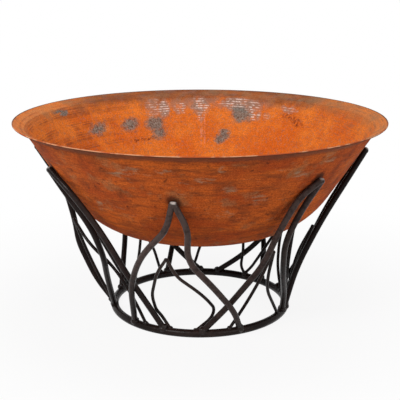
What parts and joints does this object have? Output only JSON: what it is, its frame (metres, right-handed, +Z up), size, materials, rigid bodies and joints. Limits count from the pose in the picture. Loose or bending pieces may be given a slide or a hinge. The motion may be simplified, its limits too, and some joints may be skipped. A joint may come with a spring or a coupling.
{
  "type": "fire pit",
  "caption": "Wide rusted steel fire bowl with a flared lip, resting in a dark round-bar stand of pointed flame loops on a ring, with a lift-out log grate inside.",
  "frame": {"origin": "on the floor, under the centre of the ring and the bowl", "axes": "+Z up along the bowl's axis, -Y towards the front that the picture shows, +X to the right of it"},
  "size_m": [0.7599, 0.76, 0.408],
  "materials": {
    "rusted_steel": "matt rust over raw sheet steel, with grey mill scale patches",
    "stand_paint": "satin dark brown-black paint",
    "weld_paint": "satin dark brown-black paint over weld metal",
    "grate_steel": "matt black heat-worn bar"
  },
  "bodies": {
    "stand": {"base_ring": "stand_paint", "front_loop": "stand_paint", "front_right_loop": "stand_paint", "right_loop": "stand_paint", "back_right_loop": "stand_paint", "back_loop": "stand_paint", "back_left_loop": "stand_paint", "left_loop": "stand_paint", "front_left_loop": "stand_paint", "front_thin_loop": "stand_paint", "front_right_thin_loop": "stand_paint", "right_thin_loop": "stand_paint", "back_right_thin_loop": "stand_paint", "back_thin_loop": "stand_paint", "back_left_thin_loop": "stand_paint", "front_left_thin_loop": "stand_paint", "tall_foot_welds": "weld_paint", "thin_foot_welds": "weld_paint"},
    "bowl": {"fire_bowl": "rusted_steel"},
    "grate": {"grate_bar_1": "grate_steel", "grate_bar_2": "grate_steel", "grate_bar_3": "grate_steel", "grate_bar_4": "grate_steel", "grate_bar_5": "grate_steel", "grate_bar_6": "grate_steel", "grate_bar_7": "grate_steel", "grate_rail_left": "grate_steel", "grate_rail_right": "grate_steel", "grate_leg_front_left": "grate_steel", "grate_leg_front_right": "grate_steel", "grate_leg_back_left": "grate_steel", "grate_leg_back_right": "grate_steel"}
  },
  "joints": [
    {"name": "bowl_lift", "type": "slide", "parent": "stand", "child": "bowl", "axis": [0, 0, 1], "range_m": [0, 0.25]},
    {"name": "grate_lift", "type": "slide", "parent": "bowl", "child": "grate", "axis": [0, 0, 1], "range_m": [0, 0.25]}
  ]
}
